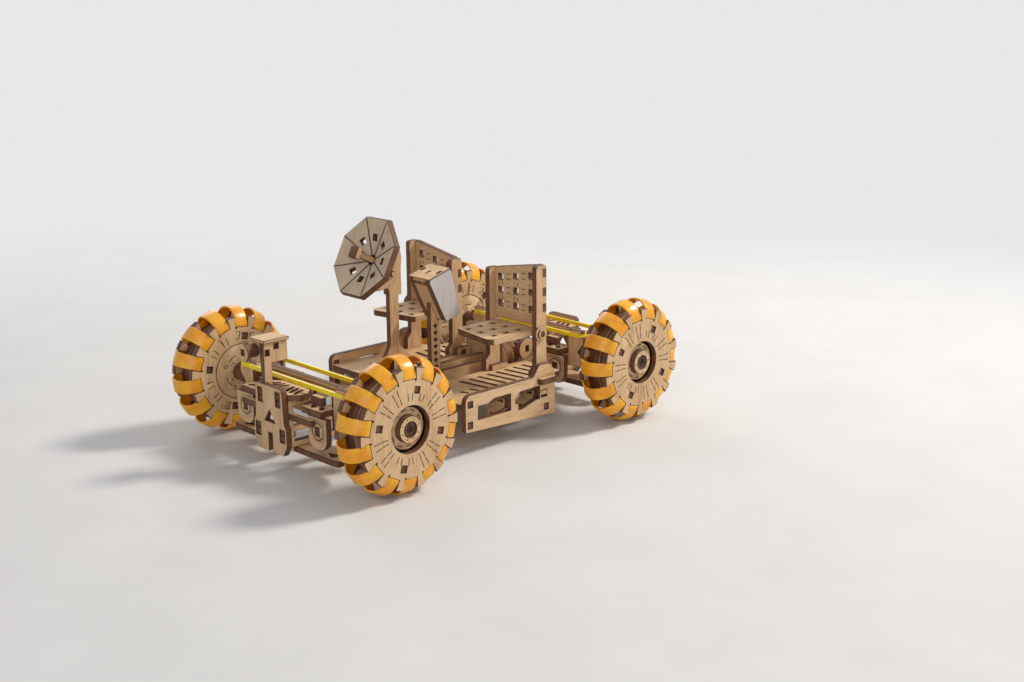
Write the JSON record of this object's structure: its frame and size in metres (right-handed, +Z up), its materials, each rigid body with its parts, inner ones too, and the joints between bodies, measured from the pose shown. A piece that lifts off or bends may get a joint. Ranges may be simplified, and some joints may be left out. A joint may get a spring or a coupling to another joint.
{
  "type": "wooden model of a planetary rover",
  "caption": "Toy-size plywood model of a two-seat planetary rover with steered hoop-tread wheels, folding seats, a console and a tilting dish.",
  "frame": {"origin": "ground level under the middle of the wheelbase, on the rover's centre plane", "axes": "+Y towards the rear, along the longest side; +X towards the rover's left; +Z up"},
  "size_m": [0.152, 0.2198, 0.1066],
  "materials": {
    "ply": "matte",
    "ply_shade": "matte",
    "axle_wood": "matte",
    "painted_board": "matte",
    "strap": "satin",
    "elastic": "satin"
  },
  "bodies": {
    "chassis": {"arms_front": "ply", "arms_rear": "ply", "brackets_front": "ply", "brackets_rear": "ply", "bulkhead": "ply", "camera_board": "ply", "camera_body": "ply", "camera_lens": "ply", "centre_floor": "ply", "circle_plates_front": "ply", "circle_plates_rear": "ply", "console_box": "ply", "console_post": "ply", "console_sides": "painted_board", "cross_beam_front": "ply", "cross_beam_rear": "ply", "deck": "ply", "deck_ribs": "ply", "drive_discs": "ply", "elastic_band_front": "elastic", "elastic_band_rear": "elastic", "end_plate_front": "ply", "end_plate_rear": "ply", "footrests": "ply", "fork_plates_front": "ply", "fork_plates_rear": "ply", "fork_posts_front": "ply", "fork_posts_rear": "ply", "mast": "ply", "seat_backs": "ply", "seat_posts": "ply", "side_frame_left": "ply", "side_frame_right": "ply", "spars": "ply", "top_panel_front": "ply", "top_panel_rear": "ply", "tunnel_beams": "ply", "winder": "ply"},
    "knuckle_front_left": {"knuckle_front_left": "axle_wood"},
    "wheel_front_left": {"wheel_discs_front_left": "ply", "wheel_drum_front_left": "ply_shade", "wheel_straps_front_left": "strap"},
    "knuckle_front_right": {"knuckle_front_right": "axle_wood"},
    "wheel_front_right": {"wheel_discs_front_right": "ply", "wheel_drum_front_right": "ply_shade", "wheel_straps_front_right": "strap"},
    "knuckle_rear_left": {"knuckle_rear_left": "axle_wood"},
    "wheel_rear_left": {"wheel_discs_rear_left": "ply", "wheel_drum_rear_left": "ply_shade", "wheel_straps_rear_left": "strap"},
    "knuckle_rear_right": {"knuckle_rear_right": "axle_wood"},
    "wheel_rear_right": {"wheel_discs_rear_right": "ply", "wheel_drum_rear_right": "ply_shade", "wheel_straps_rear_right": "strap"},
    "seat_pan_left": {"seat_pan_left": "ply"},
    "seat_pan_right": {"seat_pan_right": "ply"},
    "dish": {"dish_petals": "ply", "dish_rib": "ply", "dish_feed": "ply"}
  },
  "joints": [
    {"name": "steer_front_left", "type": "hinge", "parent": "chassis", "child": "knuckle_front_left", "pos_m": [0.044, -0.07775, 0.032], "axis": [0, 0, 1], "range_deg": [-18, 18]},
    {"name": "steer_front_right", "type": "hinge", "parent": "chassis", "child": "knuckle_front_right", "pos_m": [-0.044, -0.07775, 0.032], "axis": [0, 0, 1], "range_deg": [-18, 18]},
    {"name": "steer_rear_left", "type": "hinge", "parent": "chassis", "child": "knuckle_rear_left", "pos_m": [0.044, 0.07775, 0.032], "axis": [0, 0, 1], "range_deg": [-18, 18]},
    {"name": "steer_rear_right", "type": "hinge", "parent": "chassis", "child": "knuckle_rear_right", "pos_m": [-0.044, 0.07775, 0.032], "axis": [0, 0, 1], "range_deg": [-18, 18]},
    {"name": "spin_front_left", "type": "hinge", "parent": "knuckle_front_left", "child": "wheel_front_left", "pos_m": [0.06675, -0.07775, 0.032], "axis": [1, 0, 0], "continuous": true},
    {"name": "spin_front_right", "type": "hinge", "parent": "knuckle_front_right", "child": "wheel_front_right", "pos_m": [-0.06675, -0.07775, 0.032], "axis": [1, 0, 0], "continuous": true},
    {"name": "spin_rear_left", "type": "hinge", "parent": "knuckle_rear_left", "child": "wheel_rear_left", "pos_m": [0.06675, 0.07775, 0.032], "axis": [1, 0, 0], "continuous": true},
    {"name": "spin_rear_right", "type": "hinge", "parent": "knuckle_rear_right", "child": "wheel_rear_right", "pos_m": [-0.06675, 0.07775, 0.032], "axis": [1, 0, 0], "continuous": true},
    {"name": "fold_seat_left", "type": "hinge", "parent": "chassis", "child": "seat_pan_left", "pos_m": [0.0315, 0.0291, 0.0515], "axis": [-1, 0, 0], "range_deg": [0, 88]},
    {"name": "fold_seat_right", "type": "hinge", "parent": "chassis", "child": "seat_pan_right", "pos_m": [-0.0315, 0.0291, 0.0515], "axis": [-1, 0, 0], "range_deg": [0, 88]},
    {"name": "tilt_dish", "type": "hinge", "parent": "chassis", "child": "dish", "pos_m": [-0.0225, -0.0068, 0.0768], "axis": [-1, 0, 0], "range_deg": [-27, 50]}
  ],
  "couplings": [
    {"joint": "steer_front_right", "follows": "steer_front_left", "ratio": 1},
    {"joint": "steer_rear_left", "follows": "steer_front_left", "ratio": -1},
    {"joint": "steer_rear_right", "follows": "steer_front_left", "ratio": -1}
  ]
}
